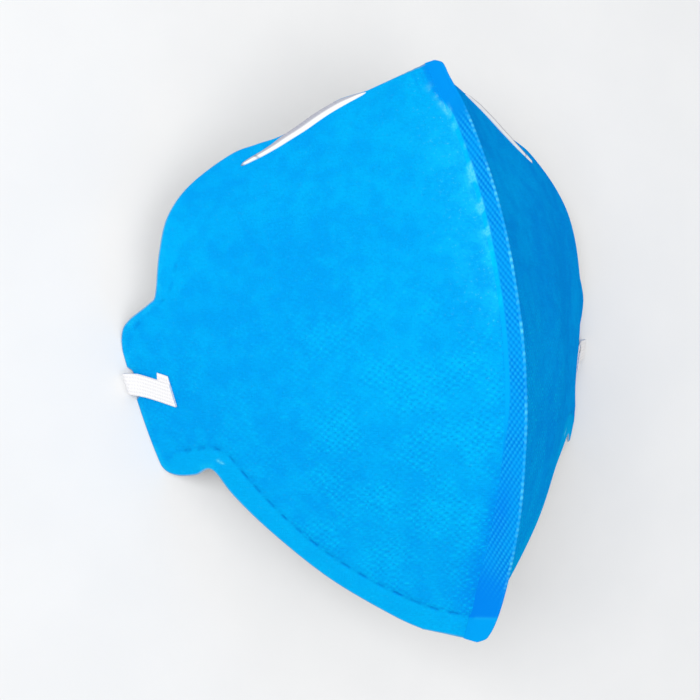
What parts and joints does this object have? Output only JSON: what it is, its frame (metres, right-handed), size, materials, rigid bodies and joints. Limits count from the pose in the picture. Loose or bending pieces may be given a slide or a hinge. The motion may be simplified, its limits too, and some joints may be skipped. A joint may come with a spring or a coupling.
{
  "type": "folding respirator mask",
  "caption": "Blue nonwoven folding respirator, opened like a tent along its centre seam, with ear tabs and flat white elastic head straps.",
  "frame": {"origin": "under the middle of the mask, on the surface that its two ear tabs stand on", "axes": "+Z forward out of the mask to its centre seam, +Y to the nose, +X to the wearer's left"},
  "size_m": [0.1542, 0.157, 0.0852],
  "materials": {
    "shell": "layered spunbond nonwoven, point bonded, blue outside and white inside",
    "seam": "welded nonwoven, fine diamond crimp with a beaded edge",
    "nose_strip": "white coated strip, matte",
    "elastic": "flat knitted white elastic"
  },
  "bodies": {
    "root": {"panel_right": "shell", "panel_left": "shell", "seam_fin": "seam", "nose_strip_right": "nose_strip", "nose_strip_left": "nose_strip", "strap_end_right": "elastic", "strap_end_left": "elastic", "strap_upper": "elastic", "strap_lower": "elastic"}
  },
  "joints": []
}
